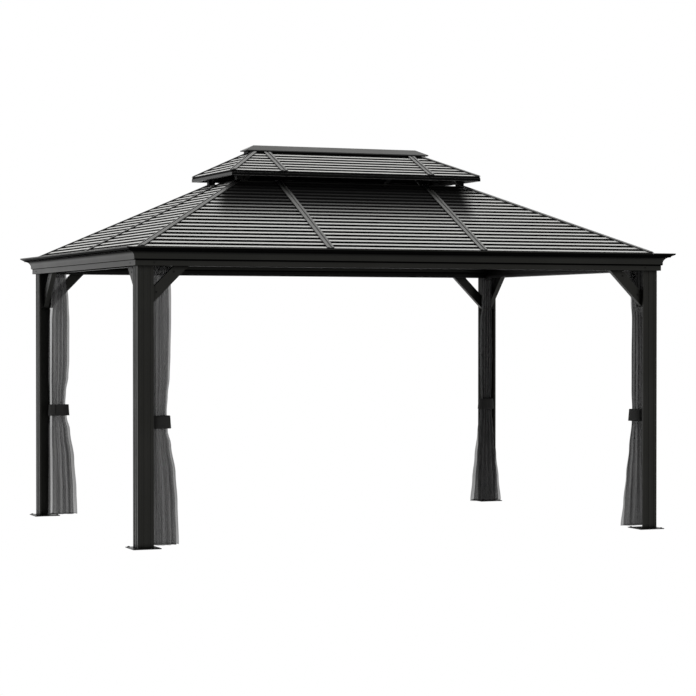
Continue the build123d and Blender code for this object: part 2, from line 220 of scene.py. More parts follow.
def makeFloor(s):
    bm = bmesh.new()
    bmesh.ops.create_circle(bm, cap_ends=True, segments=64, radius=s["floorRadius"])
    ob = meshObject("floor", bm)
    ob.location.z = -s["floorDrop"]
    mat = bpy.data.materials.new("paleFloor")
    mat.use_nodes = True
    tree = mat.node_tree
    tree.nodes.clear()
    diffuse = tree.nodes.new("ShaderNodeBsdfDiffuse")
    diffuse.inputs["Color"].default_value = s["floorColour"]
    white = tree.nodes.new("ShaderNodeEmission")
    white.inputs["Strength"].default_value = s["sky"]
    seenAndLit(tree, tree.nodes.new("ShaderNodeOutputMaterial"), diffuse.outputs[0], white.outputs[0])
    ob.data.materials.append(mat)


makeCamera(viewSet)
makeWorld(lightSet)
makeLights(lightSet)
makeFloor(lightSet)
print("camera, lights and floor ready")


# shader effects that several materials share

grainSet = {"cloudScale": 2.3, "cloudDetail": 5.0, "dustFrom": 0.42, "dustTo": 0.75}
wearSet = {"samples": 4, "flat": 0.995, "sharp": 0.8, "patchScale": 30.0,
           "open": 0.95, "closed": 0.35, "recessShade": grey(0.001)}
ribSet = {
    "fadeFrom": 0.14,               # depth below the crest where its painted highlight colour is gone, and where it is full
    "fadeTo": 0.04,
    "samples": 4,
    "sharp": 0.93,
    "flat": 0.995,
    "shadowFade": 0.06,            # metres over which the painted shadow of the upper roof ends sideways
    "shadowDark": 0.97,
    "streakStretch": (3.0, 3.0, 9.0),
    "streakScale": 1.6,
    "streakDetail": 4.0,
    "fineScale": 260.0,
    "panRough": 0.6,
    "roughChange": 0.12,
}


def newGroup(name, ins, outs):
    # a socket's kind follows from its starting value; of what goes out only Color is a colour
    kinds = {3: "NodeSocketVector", 4: "NodeSocketColor"}
    tree = bpy.data.node_groups.new(name, "ShaderNodeTree")
    for label, value in ins.items():
        kind = kinds[len(value)] if isinstance(value, tuple) else "NodeSocketFloat"
        socket = tree.interface.new_socket(label, in_out="INPUT", socket_type=kind)
        socket.default_value = value
    for label in outs:
        kind = "NodeSocketColor" if label == "Color" else "NodeSocketFloat"
        tree.interface.new_socket(label, in_out="OUTPUT", socket_type=kind)
    return tree, tree.nodes.new("NodeGroupInput").outputs, tree.nodes.new("NodeGroupOutput").inputs


def coatGrain(s):
    # fine orange-peel of powder coat with slow cloudy change
    tree, gin, gout = newGroup(
        "coatGrain",
        {"Base": grey(0.03), "Dust": (0.1, 0.1, 0.09, 1), "Dust Amount": 0.25, "Rough": 0.45,
         "Rough Change": 0.12, "Grain Scale": 420.0},
        ("Color", "Roughness", "Height"))
    place = tree.nodes.new("ShaderNodeNewGeometry").outputs["Position"]
    cloud = noiseAt(tree, place, s["cloudScale"], s["cloudDetail"])
    dusty = maths(tree, "MULTIPLY", mapRange(tree, cloud, s["dustFrom"], s["dustTo"]), gin["Dust Amount"])
    feed(tree, gout["Color"], mixColour(tree, dusty, gin["Base"], gin["Dust"]))
    feed(tree, gout["Roughness"], maths(tree, "MULTIPLY_ADD", cloud, gin["Rough Change"], gin["Rough"]))
    feed(tree, gout["Height"], noiseAt(tree, place, gin["Grain Scale"]))
    return tree


def edgeWearAndShade(s):
    # pale rubbed edges where the surface turns sharply, which on covers and trims are also a painted
    # highlight, and painted shade where it is closed in
    tree, gin, gout = newGroup(
        "edgeWearAndShade",
        {"Color": grey(0.03), "Worn And Highlit": (0.16, 0.16, 0.155, 1), "Amount": 0.5, "Reach": 0.004,
         "Recess": 0.03, "Shade": 0.8},
        ("Color",))
    geo = tree.nodes.new("ShaderNodeNewGeometry")
    turn = edgeTurn(tree, gin["Reach"], s["samples"], geo.outputs["Normal"])
    patch = noiseAt(tree, geo.outputs["Position"], s["patchScale"])
    rubbed = maths(tree, "MULTIPLY", mapRange(tree, turn, s["flat"], s["sharp"]), patch)
    rubbed = maths(tree, "MULTIPLY", rubbed, gin["Amount"])
    closed = tree.nodes.new("ShaderNodeAmbientOcclusion")
    closed.samples = s["samples"]
    feed(tree, closed.inputs["Distance"], gin["Recess"])
    # painted shade where the surface is closed in, taken from ambient occlusion
    recessShade = mapRange(tree, closed.outputs["AO"], s["open"], s["closed"])
    recessShade = maths(tree, "MULTIPLY", recessShade, gin["Shade"])
    wornAndHighlit = mixColour(tree, rubbed, gin["Color"], gin["Worn And Highlit"])
    feed(tree, gout["Color"], mixColour(tree, recessShade, wornAndHighlit, s["recessShade"]))
    return tree


def ribSheen(s):
    # tells the raised ribs of a roof sheet from the pans between them, paints a highlight on the crests and
    # shade in the pans, and darkens a patch with a painted shadow
    tree, gin, gout = newGroup(
        "ribSheen",
        {"Slope": (0, 0, 1), "Top": 0.0, "Depth": 0.01, "Rib Highlight": grey(0.5), "Pan Shade": grey(0.01),
         "Streaks": 0.2, "Rib Rough": 0.25, "Edge Reach": 0.003, "Shadow Low": 9.0, "Shadow High": 9.5,
         "Shadow Middle": 0.0, "Shadow Half": 1.0, "Shadow Lean": 0.6},
        ("Color", "Roughness", "Metal", "Height"))
    geo = tree.nodes.new("ShaderNodeNewGeometry")
    place = geo.outputs["Position"]
    below = maths(tree, "SUBTRACT", gin["Top"], vectorMaths(tree, "DOT_PRODUCT", place, gin["Slope"]))
    top = mapRange(tree, maths(tree, "DIVIDE", below, gin["Depth"]), s["fadeFrom"], s["fadeTo"])
    turn = edgeTurn(tree, gin["Edge Reach"], s["samples"], geo.outputs["True Normal"])
    crestHighlight = mapRange(tree, turn, s["sharp"], s["flat"])

    # the painted shadow of the upper roof leans sideways as it comes down the slope
    split = splitVector(tree, place)
    height = mapRange(tree, split["Z"], gin["Shadow Low"], gin["Shadow High"], smooth=True)
    lean = maths(tree, "SUBTRACT", gin["Shadow High"], split["Z"])
    lean = maths(tree, "MULTIPLY", lean, gin["Shadow Lean"])
    aside = maths(tree, "SUBTRACT", maths(tree, "ADD", split["X"], lean), gin["Shadow Middle"])
    aside = maths(tree, "SUBTRACT", maths(tree, "ABSOLUTE", aside), gin["Shadow Half"])
    paintedShadow = mapRange(tree, aside, s["shadowFade"], -s["shadowFade"], smooth=True)
    paintedShadow = maths(tree, "MULTIPLY", height, paintedShadow)
    # painted shadow of the upper roof: darkens the crests in a patch below its eave
    unshadowed = maths(tree, "SUBTRACT", 1.0, maths(tree, "MULTIPLY", paintedShadow, s["shadowDark"]))
    # the crests carry a painted highlight in place of reflected sky, narrowed at their rounded edges; the
    # pans are painted near black as shade
    lit = maths(tree, "MULTIPLY", maths(tree, "MULTIPLY", top, crestHighlight), unshadowed)

    stretched = vectorMaths(tree, "MULTIPLY", place, s["streakStretch"])
    streak = noiseAt(tree, stretched, s["streakScale"], s["streakDetail"])
    ribTone = mixColour(tree, maths(tree, "MULTIPLY", streak, gin["Streaks"]), gin["Rib Highlight"], gin["Pan Shade"])
    rough = mapRange(tree, top, 0.0, 1.0, low=s["panRough"], high=gin["Rib Rough"])
    feed(tree, gout["Color"], mixColour(tree, lit, gin["Pan Shade"], ribTone))
    feed(tree, gout["Roughness"], maths(tree, "MULTIPLY_ADD", streak, s["roughChange"], rough))
    feed(tree, gout["Metal"], top)
    feed(tree, gout["Height"], noiseAt(tree, place, s["fineScale"]))
    return tree


def facingShade():
    # keeps the colour on faces that look up, and paints a darker colour as shade on flanks and undersides
    tree, gin, gout = newGroup(
        "facingShade", {"Color": grey(0.2), "Flank Shade": grey(0.01), "From": 0.2, "To": 0.7}, ("Color", "Metal"))
    geo = tree.nodes.new("ShaderNodeNewGeometry")
    upward = mapRange(tree, splitVector(tree, geo.outputs["True Normal"])["Z"], gin["From"], gin["To"])
    feed(tree, gout["Color"], mixColour(tree, upward, gin["Flank Shade"], gin["Color"]))
    feed(tree, gout["Metal"], upward)
    return tree


# painted shadow lines at the heights where the gutter's moulding steps cast shade
def stepShadowLines():
    # dark level lines where the pressed lengths of a gutter meet
    tree, gin, gout = newGroup(
        "stepShadowLines",
        {"Color": grey(0.02), "Line": grey(0.001), "Low": 1.97, "Middle": 2.04, "High": 2.06,
         "Half Width": 0.004},
        ("Color", "Metal"))
    geo = tree.nodes.new("ShaderNodeNewGeometry")
    z = splitVector(tree, geo.outputs["Position"])["Z"]
    line = 0.0
    for name in ("Low", "Middle", "High"):
        near = maths(tree, "COMPARE", z, gin[name], gin["Half Width"])
        line = maths(tree, "MAXIMUM", line, near)
    feed(tree, gout["Color"], mixColour(tree, line, gin["Color"], gin["Line"]))
    feed(tree, gout["Metal"], maths(tree, "SUBTRACT", 1.0, line))
    return tree


grainGroup = coatGrain(grainSet)
wearAndShadeGroup = edgeWearAndShade(wearSet)
ribGroup = ribSheen(ribSet)
facingShadeGroup = facingShade()
stepShadowGroup = stepShadowLines()


def useGroup(tree, group, values):
    node = tree.nodes.new("ShaderNodeGroup")
    node.node_tree = group
    for name, value in values.items():
        feed(tree, node.inputs[name], value)
    return node.outputs


def newMaterial(name):
    mat = bpy.data.materials.new(name)
    mat.use_nodes = True
    tree = mat.node_tree
    tree.nodes.clear()
    out = tree.nodes.new("ShaderNodeOutputMaterial")
    shader = tree.nodes.new("ShaderNodeBsdfPrincipled")
    tree.links.new(shader.outputs[0], out.inputs["Surface"])
    return mat, tree, shader.inputs


# metal finishes; worn is the tone of a rubbed edge, also a painted highlight on the covers and trims,
# recess how far into a corner the painted shade reaches

frameSet = {"base": (0.019, 0.019, 0.0175, 1), "dust": (0.028, 0.028, 0.026, 1), "dustAmount": 0.4,
            "rough": 0.34, "roughChange": 0.12, "grainScale": 420.0, "wornAndHighlit": (0.09, 0.09, 0.085, 1),
            "wearAmount": 0.5, "bump": 0.3, "bumpDeep": 0.0004, "metallic": 1.0, "specular": 0.3,
            "recess": 0.035, "shade": 0.9}
# gutters: dark lines painted at set heights as the shadows under the moulding steps
gutterSet = dict(frameSet, joints=(1.9725, 2.033, 2.046), shadowLineHalf=0.006, shadowLineColour=grey(0.002),
                 # gutter undersides painted near black as shade
                 flankShade=grey(0.002), flankFrom=-0.95, flankTo=-0.5, wearAmount=0.05, specular=0.0)
# covers: their pale worn edges are also a painted highlight
coverSet = dict(frameSet, base=(0.17, 0.17, 0.165, 1), dust=(0.16, 0.16, 0.15, 1), rough=0.3,
                wornAndHighlit=(0.50, 0.50, 0.48, 1), wearAmount=0.9, recess=0.012, shade=0.6,
                # cover flanks painted near black as shade, only their tops keep the lit colour
                flankShade=grey(0.004), flankFrom=0.3, flankTo=0.75)
coatSets = {
    "frame": frameSet,
    "gutter": gutterSet,
    "gutterShort": dict(gutterSet, joints=(2.0345, 2.0345, 2.0345), shadowLineHalf=0.004),
    "rafter": dict(frameSet, base=grey(0.006), rough=0.5),
    "cover": coverSet,
    "track": dict(frameSet, base=grey(0.012), rough=0.3),
    # front and back trims: near black as painted shade, their pale worn lip also a painted highlight; the
    # side trims keep near the frame's colour
    "trimLongShaded": dict(frameSet, base=grey(0.003), dust=grey(0.006), wornAndHighlit=(0.30, 0.30, 0.29, 1),
                     wearAmount=0.9),
    "trimShort": dict(frameSet, base=(0.022, 0.022, 0.021, 1)),
    "bolt": dict(frameSet, base=grey(0.008), wearAmount=0.3),
    "cap": dict(coverSet, base=(0.10, 0.10, 0.097, 1), dust=(0.07, 0.07, 0.067, 1)),
}
roofSet = {
    "depth": 0.0098,
    # rib is the painted highlight colour of the crests, pan the near-black painted shade of the pans
    "rib": (0.60, 0.60, 0.585, 1),
    "panShade": grey(0.002),
    "streaks": 0.12,
    "ribRough": 0.50,
    "edgeReach": 0.0035,
    "bump": 0.1,
    "bumpDeep": 0.0003,
    "specular": 0.02,
    "facesUp": 0.6,
    # the front and back roofs get a painted shadow below the upper roof's eave
    "shadowedRoofs": ("roof_front", "roof_back"),
    "paintedShadow": {"Shadow Low": 2.23, "Shadow High": 2.47, "Shadow Middle": -0.16, "Shadow Half": 1.0},
}
namedFinish = {
    "gutter_left": "gutterShort",
    "gutter_right": "gutterShort",
    "eave_trims_long": "trimLongShaded",
    "eave_trims_short": "trimShort",
    "ridge_cap": "cap",
}


def coatedMetal(name, s):
    mat, tree, shader = newMaterial(name)
    grain = useGroup(tree, grainGroup, {
        "Base": s["base"], "Dust": s["dust"], "Dust Amount": s["dustAmount"],
        "Rough": s["rough"], "Rough Change": s["roughChange"], "Grain Scale": s["grainScale"]})
    wornAndShaded = useGroup(tree, wearAndShadeGroup, {
        "Color": grain["Color"], "Worn And Highlit": s["wornAndHighlit"], "Amount": s["wearAmount"],
        "Recess": s["recess"], "Shade": s["shade"]})
    colour = wornAndShaded["Color"]
    metal = s["metallic"]
    if "flankShade" in s:
        upward = useGroup(tree, facingShadeGroup, {
            "Color": colour, "Flank Shade": s["flankShade"], "From": s["flankFrom"], "To": s["flankTo"]})
        colour = upward["Color"]
        metal = maths(tree, "MULTIPLY", metal, upward["Metal"])
    # painted shadow lines under the gutter's moulding steps
    if "joints" in s:
        low, middle, high = s["joints"]
        stepShadow = useGroup(tree, stepShadowGroup, {
            "Color": colour, "Low": low, "Middle": middle, "High": high,
            "Half Width": s["shadowLineHalf"], "Line": s["shadowLineColour"]})
        colour = stepShadow["Color"]
        metal = maths(tree, "MULTIPLY", metal, stepShadow["Metal"])
    feed(tree, shader["Base Color"], colour)
    feed(tree, shader["Metallic"], metal)
    feed(tree, shader["Roughness"], grain["Roughness"])
    feed(tree, shader["Normal"], bumpNormal(tree, grain["Height"], s["bump"], s["bumpDeep"]))
    shader["Specular IOR Level"].default_value = s["specular"]
    return mat


def ribbedRoof(name, s, slope, top):
    mat, tree, shader = newMaterial(name)
    rib = {"Slope": slope, "Top": top, "Depth": s["depth"], "Rib Highlight": s["rib"], "Pan Shade": s["panShade"],
           "Streaks": s["streaks"], "Rib Rough": s["ribRough"], "Edge Reach": s["edgeReach"]}
    if name.startswith(s["shadowedRoofs"]):
        rib.update(s["paintedShadow"])
    rib = useGroup(tree, ribGroup, rib)
    feed(tree, shader["Base Color"], rib["Color"])
    feed(tree, shader["Roughness"], rib["Roughness"])
    feed(tree, shader["Metallic"], rib["Metal"])
    feed(tree, shader["Normal"], bumpNormal(tree, rib["Height"], s["bump"], s["bumpDeep"]))
    shader["Specular IOR Level"].default_value = s["specular"]
    return mat


finishes = {name: coatedMetal(name + "Coat", s) for name, s in coatSets.items()}
slotOf = {row["node"]: row["material_slot"] for row in frame["record"]["subparts"]}
for name, ob in nodes.items():
    finish = finishes.get(namedFinish.get(name, slotOf[name]))
    if slotOf[name] == "roof":
        upward = [face for face in ob.data.polygons if face.normal.z > roofSet["facesUp"]]
        slope = max(upward, key=lambda face: face.area).normal.copy()
        top = max(slope.dot(v.co) for v in ob.data.vertices)
        finish = ribbedRoof(name + "Coat", roofSet, slope, top)
    if finish:
        ob.data.materials.clear()
        ob.data.materials.append(finish)
print("metal finishes set")


# posts: pressed angles with two shallow flutes on each outer face, open towards the inside

postSet = {
    "size": 0.115,
    "wall": 0.014,
    "flute": 0.024,
    "fluteDepth": 0.003,
    "headFrom": 1.662,              # a closed block above this carries the braces
    "edge": 0.001,
}

corners = {"front_left": (-1, -1), "front_right": (1, -1), "back_left": (-1, 1), "back_right": (1, 1)}


def flutedEdge(s, start, end, inward):
    # points from start to end with two flutes cut in
    start, end, inward = Vector(start), Vector(end), Vector(inward)
    along = (end - start).normalized()
    middle = (start + end) / 2
    points = [start]
    for side in (-1, 1):
        centre = middle + along * side * s["size"] / 5
        for step, deep in ((-0.5, 0), (-0.5, 1), (0.5, 1), (0.5, 0)):
            points.append(centre + along * step * s["flute"] + inward * deep * s["fluteDepth"])
    return points


def shaft(bm, outline, low, high, finish):
    rings = [[bm.verts.new((p.x, p.y, z)) for p in outline] for z in (low, high)]
    count = len(outline)
    faces = [bm.faces.new(rings[0][::-1]), bm.faces.new(rings[1])]
    for i in range(count):
        j = (i + 1) % count
        faces.append(bm.faces.new((rings[0][i], rings[0][j], rings[1][j], rings[1][i])))
    for face in faces:
        face.material_index = finish


def postMesh(name, s, sideX, sideY, cadPost):
    low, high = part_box(cadPost)
    size, wall = s["size"], s["wall"]
    angle = flutedEdge(s, (0, 0), (size, 0), (0, 1))
    angle += [Vector((size, 0)), Vector((size, wall)), Vector((wall, wall)), Vector((wall, size))]
    angle += flutedEdge(s, (0, size), (0, 0), (1, 0))
    block = flutedEdge(s, (size, wall), (size, size), (-1, 0))
    block += flutedEdge(s, (size, size), (wall, size), (0, -1))
    block += [Vector((wall, size)), Vector((wall, wall))]
    cornerX = high[0] if sideX > 0 else low[0]
    cornerY = high[1] if sideY > 0 else low[1]
    bm = bmesh.new()
    for finish, (outline, start) in enumerate(((angle, low[2]), (block, s["headFrom"]))):
        placed = [Vector((cornerX - sideX * p.x, cornerY - sideY * p.y)) for p in outline]
        shaft(bm, placed, start, high[2], finish)
    bmesh.ops.recalc_face_normals(bm, faces=bm.faces)
    ob = meshObject(name, bm)
    rounded = ob.modifiers.new("edges", "BEVEL")
    rounded.width = s["edge"]
    rounded.segments = 2
    rounded.limit_method = "ANGLE"
    return ob


for corner, (sideX, sideY) in corners.items():
    angle = postMesh("angle_" + corner, postSet, sideX, sideY, "post_" + corner)
    angle.data.materials.append(finishes["frame"])
    angle.data.materials.append(finishes["rafter"])
    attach(angle, "root")
    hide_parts("post_" + corner)
print("angle posts set")


# bolt heads: domed, on the fascias, at the braces' ends and over the anchor holes

boltSet = {
    "turns": 20,
    "fascia": (0.0050, 0.0030),     # radius and height of a head
    "brace": (0.0060, 0.0035),
    "anchor": (0.0095, 0.0060),
    "dome": [(1.0, 0.0), (1.0, 0.35), (0.86, 0.72), (0.55, 0.93), (0.20, 1.0)],
    "fasciaOut": 0.022,             # the fascia's face stands outside the posts' by this
    "fasciaLong": (1.905, 1.952),   # distance from the middle of the side, and height
    "fasciaShort": (1.338, 1.951),
    "braceGap": 0.030,              # from the post to the first bolt of a brace
    "braceSpots": [(0.0, 1.752), (0.125, 1.892)],
    "anchorReach": 0.082,
}


def addBolt(bm, s, place, facing, radius, height):
    facing = Vector(facing)
    side = facing.orthogonal().normalized()
    other = facing.cross(side)
    rings = []
    for wide, high in s["dome"]:
        ring = []
        for i in range(s["turns"]):
            turn = 2 * math.pi * i / s["turns"]
            around = side * math.cos(turn) + other * math.sin(turn)
            ring.append(bm.verts.new(Vector(place) + around * radius * wide + facing * height * high))
        rings.append(ring)
    for low, high in zip(rings, rings[1:]):
        for i in range(s["turns"]):
            j = (i + 1) % s["turns"]
            bm.faces.new((low[i], low[j], high[j], high[i])).smooth = True
    bm.faces.new(rings[0][::-1])
    bm.faces.new(rings[-1])


def boltsPiece(name, s, size, rows):
    bm = bmesh.new()
    for place, facing in rows:
        addBolt(bm, s, place, facing, *size)
    ob = meshObject(name, bm)
    ob.data.materials.append(finishes["bolt"])
    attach(ob, "root")


def boltRows(s):
    # places and directions of the fascias', the braces' and the foot plates' bolts
    postLow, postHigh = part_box("post_front_left")
    middleX, middleY = -(postLow[0] + postHigh[0]) / 2, -(postLow[1] + postHigh[1]) / 2
    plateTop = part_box("foot_plates")[1][2]
    fasciaX, fasciaY = s["fasciaOut"] - postLow[0], s["fasciaOut"] - postLow[1]
    braceX, braceY = -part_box("braces_left")[0][0], -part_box("braces_front")[0][1]
    inset = postSet["size"] + s["braceGap"]
    alongX, highX = s["fasciaLong"]
    alongY, highY = s["fasciaShort"]
    fascias, braces, anchors = [], [], []
    for sideX in (-1, 1):
        for sideY in (-1, 1):
            fascias.append(((sideX * alongX, sideY * fasciaY, highX), (0, sideY, 0)))
            fascias.append(((sideX * fasciaX, sideY * alongY, highY), (sideX, 0, 0)))
            for further, height in s["braceSpots"]:
                footX, footY = -postLow[0] - inset - further, -postLow[1] - inset - further
                braces.append(((sideX * footX, sideY * braceY, height), (0, sideY, 0)))
                braces.append(((sideX * braceX, sideY * footY, height), (sideX, 0, 0)))
            for x in (middleX - s["anchorReach"], middleX + s["anchorReach"]):
                for y in (middleY - s["anchorReach"], middleY + s["anchorReach"]):
                    anchors.append(((sideX * x, sideY * y, plateTop), (0, 0, 1)))
    return fascias, braces, anchors


fasciaRows, braceRows, anchorRows = boltRows(boltSet)
boltsPiece("fascia_bolts", boltSet, boltSet["fascia"], fasciaRows)
boltsPiece("brace_bolts", boltSet, boltSet["brace"], braceRows)
boltsPiece("anchor_bolts", boltSet, boltSet["anchor"], anchorRows)
print("bolt heads set", len(fasciaRows) + len(braceRows) + len(anchorRows))


# netting: one long strip a corner, folded twice on itself and gathered in pleats

netSet = {
    "rows": 72,
    "columns": 190,
    "hem": 0.010,                   # the cloth ends this far above the ground
    "hemWave": 0.004,
    "folds": 13,
    "layers": [(-1.0, 0.74, -0.5), (0.74, -0.70, 0.0), (-0.70, 1.0, 0.5)],   # from, to and depth
    "layerApart": 1.3,
    "pleatDeep": 0.29,              # below half the distance of two layers, which keeps them apart
    "pleatRange": (0.1, 2.2),
    "tries": 7,                     # halvings until the cloth's width fits
    "smoothing": 3,
    "drift": 1.3,                   # how far the pleats wander from an even spacing, and from their depth
    "driftScale": (4, 0.8),
    "wander": 0.25,
    "wanderScale": (6, 1.1),
    "endsThin": 0.75,
    "hemScale": 0.06,
    "tall": 1.92,
    "fuller": 1.05,
    "alpha": 0.60,
    "base": 0.175,                  # grey of a flat run of cloth, times each corner's shade tone, which paints the right-hand bundles darker as shade
    # fold is the painted shade colour in the pleats
    "fold": 0.050,
    "facing": 0.35,
    "specular": 0.1,
    "sheen": 0.15,
}
weaveSet = {
    "stretch": (22.0, 1.3, 1.0),
    "pleatFrom": 0.55,
    "pleatTo": 0.32,
    "pleatDense": 0.20,
    "turnPower": 2.5,
    "turnDense": 0.45,
    "tapeLow": 0.007,               # sewn edges, as shares of the cloth's height and width
    "tapeHigh": 0.985,
    "tapeSides": 0.010,
    "tapeDense": 0.75,
    "tapeDark": 0.6,
    "tape": grey(0.012),
    "driftScale": 9.0,
    "rough": 0.7,
    "roughChange": 0.2,
}

# girth is the cloth's width in metres; rows hold height, middle in x and y, half width and half depth
bundleShapes = {
    # a tone below 1 paints a bundle darker as shade
    "front_left": {"shadeTone": 1.0, "seed": 3.1, "girth": 0.80, "rows": [
        (1.9315, -1.8225, -1.338, 0.071, 0.022), (1.70, -1.8205, -1.338, 0.074, 0.0235),
        (1.58, -1.820, -1.336, 0.075, 0.038), (1.33, -1.822, -1.336, 0.072, 0.040),
        (1.17, -1.8245, -1.337, 0.069, 0.040), (1.04, -1.8315, -1.338, 0.062, 0.038),
        (0.93, -1.834, -1.338, 0.057, 0.036), (0.80, -1.830, -1.338, 0.060, 0.036),
        (0.70, -1.820, -1.337, 0.074, 0.040), (0.50, -1.804, -1.336, 0.090, 0.046),
        (0.31, -1.797, -1.335, 0.097, 0.050), (0.010, -1.792, -1.334, 0.102, 0.054)]},
    "back_left": {"shadeTone": 1.0, "seed": 8.7, "girth": 0.80, "rows": [
        (1.9315, -1.866, 1.290, 0.062, 0.028), (1.70, -1.858, 1.289, 0.072, 0.030),
        (1.56, -1.862, 1.288, 0.082, 0.034), (1.245, -1.864, 1.288, 0.083, 0.036),
        (1.117, -1.868, 1.288, 0.080, 0.036), (0.989, -1.876, 1.288, 0.068, 0.034),
        (0.90, -1.878, 1.288, 0.064, 0.032), (0.79, -1.872, 1.288, 0.070, 0.032),
        (0.684, -1.862, 1.288, 0.086, 0.034), (0.45, -1.845, 1.288, 0.102, 0.036),
        (0.20, -1.838, 1.288, 0.112, 0.037), (0.010, -1.836, 1.288, 0.116, 0.037)]},
    "front_right": {"shadeTone": 0.5, "seed": 5.4, "girth": 0.80, "rows": [
        (1.9315, 1.936, -1.2575, 0.052, 0.020), (1.70, 1.950, -1.2575, 0.056, 0.024),
        (1.56, 1.960, -1.2575, 0.058, 0.044), (1.30, 1.963, -1.2575, 0.066, 0.046),
        (1.02, 1.9585, -1.2575, 0.061, 0.038), (0.90, 1.9555, -1.2575, 0.052, 0.036),
        (0.80, 1.9555, -1.2575, 0.056, 0.038), (0.60, 1.9545, -1.2575, 0.078, 0.044),
        (0.40, 1.9535, -1.2575, 0.102, 0.050), (0.20, 1.9555, -1.2575, 0.126, 0.054),
        (0.010, 1.9555, -1.2575, 0.147, 0.056)]},
    "back_right": {"shadeTone": 0.6, "seed": 1.9, "girth": 0.80, "rows": [
        (1.9315, 1.902, 1.2575, 0.044, 0.020), (1.70, 1.896, 1.2575, 0.048, 0.026),
        (1.56, 1.8885, 1.2575, 0.058, 0.046), (1.30, 1.8885, 1.2575, 0.062, 0.048),
        (1.02, 1.8885, 1.2575, 0.056, 0.038), (0.90, 1.8885, 1.2575, 0.050, 0.036),
        (0.80, 1.8885, 1.2575, 0.058, 0.038), (0.60, 1.8885, 1.2575, 0.080, 0.044),
        (0.40, 1.8885, 1.2575, 0.106, 0.050), (0.20, 1.8885, 1.2575, 0.128, 0.054),
        (0.010, 1.8885, 1.2575, 0.147, 0.056)]},
}


def rowAt(rows, z):
    for high, low in zip(rows, rows[1:]):
        if z >= low[0]:
            t = (high[0] - z) / (high[0] - low[0])
            t = t * t * (3 - 2 * t)
            return [a + (b - a) * t for a, b in zip(high[1:], low[1:])]
    return rows[-1][1:]


def clothLine(s, shape, z, pleat):
    # a flattened S seen from above: back layer, middle layer, front layer
    x, y, halfWidth, halfDepth = rowAt(shape["rows"], z)
    halfWidth *= s["fuller"]
    total = sum(abs(b - a) for a, b, layer in s["layers"])
    line = []
    for i in range(s["columns"] + 1):
        u = i / s["columns"]
        left = u * total
        for a, b, layer in s["layers"]:
            run = abs(b - a)
            if left <= run + 1e-9:
                across = a + (b - a) * left / run
                break
            left -= run
        wide, tall = s["driftScale"]
        drift = s["drift"] * noise.noise(Vector((u * wide, z * tall, shape["seed"])))
        wide, tall = s["wanderScale"]
        wander = s["wander"] * noise.noise(Vector((u * wide + 9, z * tall, shape["seed"])))
        fold = math.sin(2 * math.pi * s["folds"] * u + drift + shape["seed"])
        deep = layer * s["layerApart"] + s["pleatDeep"] * math.tanh(pleat * fold + wander)
        thinner = math.sqrt(max(0.0, 1 - s["endsThin"] * across * across))
        line.append(Vector((x + halfWidth * across, y + halfDepth * deep * thinner, z)))
    for turn in range(s["smoothing"]):
        inner = [(a + b * 2 + c) / 4 for a, b, c in zip(line, line[1:], line[2:])]
        line = [line[0]] + inner + [line[-1]]
    return line


def lineLength(line):
    return sum((b - a).length for a, b in zip(line, line[1:]))


def clothMesh(name, lines):
    # a sheet through lines of points, with the whole cloth from 0 to 1 in its UVs
    bm = bmesh.new()
    uv = bm.loops.layers.uv.new("cloth")
    grid = [[bm.verts.new(p) for p in line] for line in lines]
    rows, columns = len(grid) - 1, len(grid[0]) - 1
    for k in range(rows):
        for i in range(columns):
            at = [(i, k), (i, k + 1), (i + 1, k + 1), (i + 1, k)]
            face = bm.faces.new([grid[b][a] for a, b in at])
            face.smooth = True
            for loop, (a, b) in zip(face.loops, at):
                loop[uv].uv = (a / columns, 1 - b / rows)
    return meshObject(name, bm)


def curtainMesh(name, s, shape):
    lines = []
    top = shape["rows"][0][0]
    for k in range(s["rows"] + 1):
        z = top + (s["hem"] - top) * k / s["rows"]
        low, high = s["pleatRange"]
        for step in range(s["tries"]):
            middle = (low + high) / 2
            if lineLength(clothLine(s, shape, z, middle)) < shape["girth"]:
                low = middle
            else:
                high = middle
        lines.append(clothLine(s, shape, z, low))
    for i, p in enumerate(lines[-1]):
        p.z += s["hemWave"] * (1 + noise.noise(Vector((i * s["hemScale"], shape["seed"], 0))))
    return clothMesh(name, lines)


